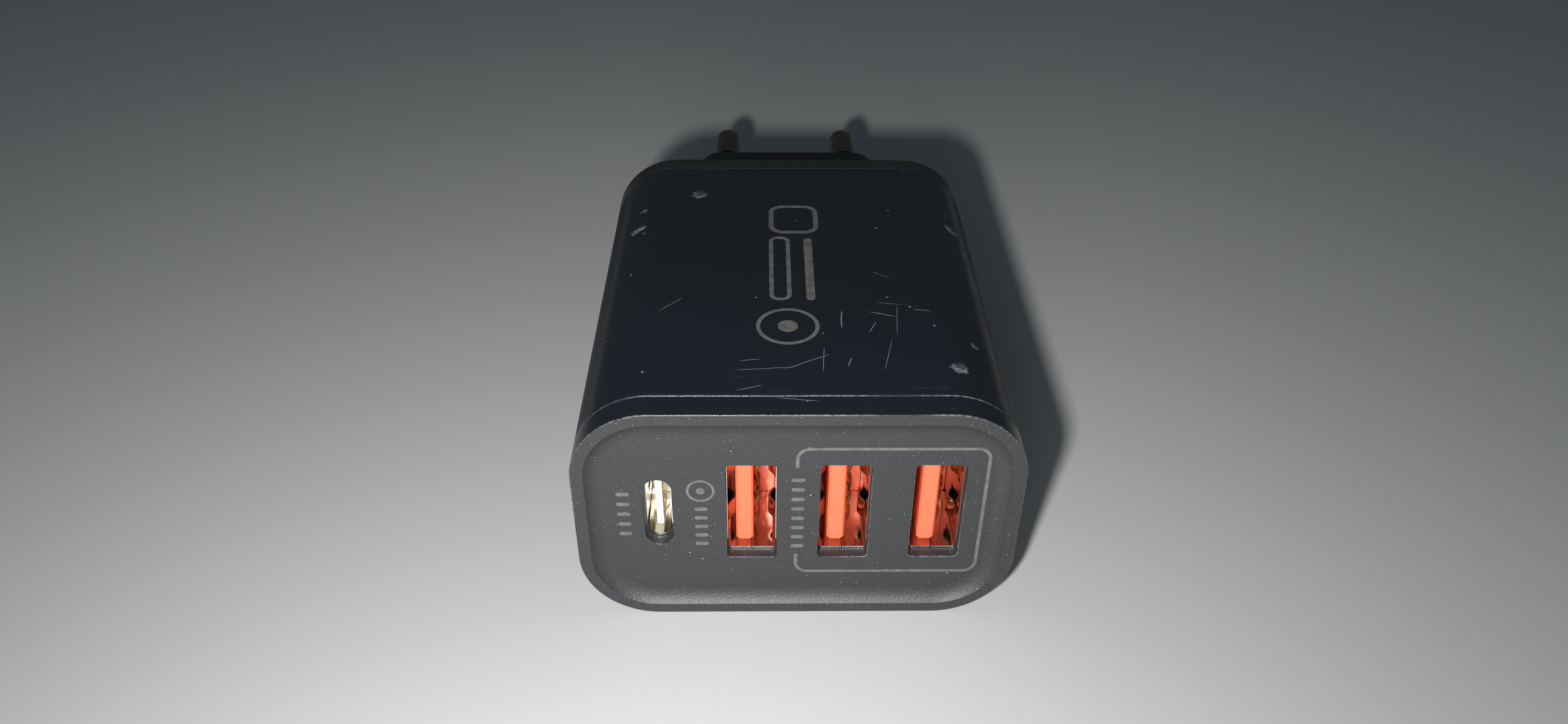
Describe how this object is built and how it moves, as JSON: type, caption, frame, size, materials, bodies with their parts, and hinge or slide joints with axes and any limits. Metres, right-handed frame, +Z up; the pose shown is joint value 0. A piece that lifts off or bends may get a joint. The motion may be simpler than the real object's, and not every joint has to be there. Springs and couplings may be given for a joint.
{
  "type": "usb wall charger",
  "caption": "Plug-in mains charger: rounded box with ribbed sides, a row of upright USB sockets in a recessed face and a two-pin Europlug boss behind.",
  "frame": {"origin": "centre of the bounding box's bottom, on the surface the charger lies on", "axes": "+X across the sockets, towards the last USB-A socket; +Y from the sockets to the plug pins' tips; +Z up from the broad face it lies on"},
  "size_m": [0.0468, 0.0915, 0.0282],
  "materials": {
    "front_plastic": "fine spark-eroded texture, satin",
    "housing_plastic": "gloss top and bottom, finely ribbed sides, scuffed",
    "rear_plastic": "satin",
    "pin_metal": "nickel plated",
    "sleeve_plastic": "satin",
    "socket_nickel": "bright nickel plated sheet",
    "orange_insulator": "moulded, satin",
    "ivory_insulator": "moulded, satin",
    "contact_gold": "thin gold flash",
    "board_green": "solder mask over glass epoxy",
    "ferrite": "sintered, matt",
    "bobbin_plastic": "phenolic moulding",
    "tape_yellow": "polyester tape",
    "can_sleeve": "shrink sleeve",
    "can_aluminium": "drawn can",
    "lead_insulation": "extruded insulation",
    "ceramic_blue": "dipped epoxy",
    "box_yellow": "moulded box",
    "fuse_body": "moulded box",
    "chip_epoxy": "moulded epoxy",
    "copper_wire": "enamelled copper",
    "heat_sink_aluminium": "sheet",
    "insulating_paper": "calendered sheet",
    "solder_tin": "bright",
    "print_ink": "pad-printed grey marks on the front face and the top",
    "chip_ceramic": "fired ceramic"
  },
  "bodies": {
    "root": {"bridge_rectifier": "chip_epoxy", "buck_inductor_1": "ferrite", "buck_inductor_2": "ferrite", "chip_parts": "chip_ceramic", "choke_core": "ferrite", "choke_winding": "copper_wire", "front_cover": "front_plastic", "fuse": "fuse_body", "heat_sink": "heat_sink_aluminium", "input_capacitor_1": "can_sleeve", "input_capacitor_2": "can_sleeve", "insulating_sheet": "insulating_paper", "main_board": "board_green", "main_housing": "housing_plastic", "optocoupler": "chip_epoxy", "output_capacitor_1": "can_aluminium", "output_capacitor_2": "can_aluminium", "pd_controller": "chip_epoxy", "pin_lead_left": "lead_insulation", "pin_lead_right": "lead_insulation", "pin_sleeve_left": "sleeve_plastic", "pin_sleeve_right": "sleeve_plastic", "plug_pin_left": "pin_metal", "plug_pin_right": "pin_metal", "primary_controller": "chip_epoxy", "quick_charge_controller": "chip_epoxy", "rear_cover": "rear_plastic", "riser_board": "board_green", "solder_joints": "solder_tin", "sync_rectifier": "chip_epoxy", "transformer_bobbin": "bobbin_plastic", "transformer_core": "ferrite", "transformer_winding": "tape_yellow", "usb_a_contacts_1": "contact_gold", "usb_a_contacts_2": "contact_gold", "usb_a_contacts_3": "contact_gold", "usb_a_insulator_1": "orange_insulator", "usb_a_insulator_2": "orange_insulator", "usb_a_insulator_3": "orange_insulator", "usb_a_shell_1": "socket_nickel", "usb_a_shell_2": "socket_nickel", "usb_a_shell_3": "socket_nickel", "usb_c_contacts": "contact_gold", "usb_c_insulator": "ivory_insulator", "usb_c_shell": "socket_nickel", "x_capacitor": "box_yellow", "y_capacitor": "ceramic_blue"}
  },
  "joints": []
}
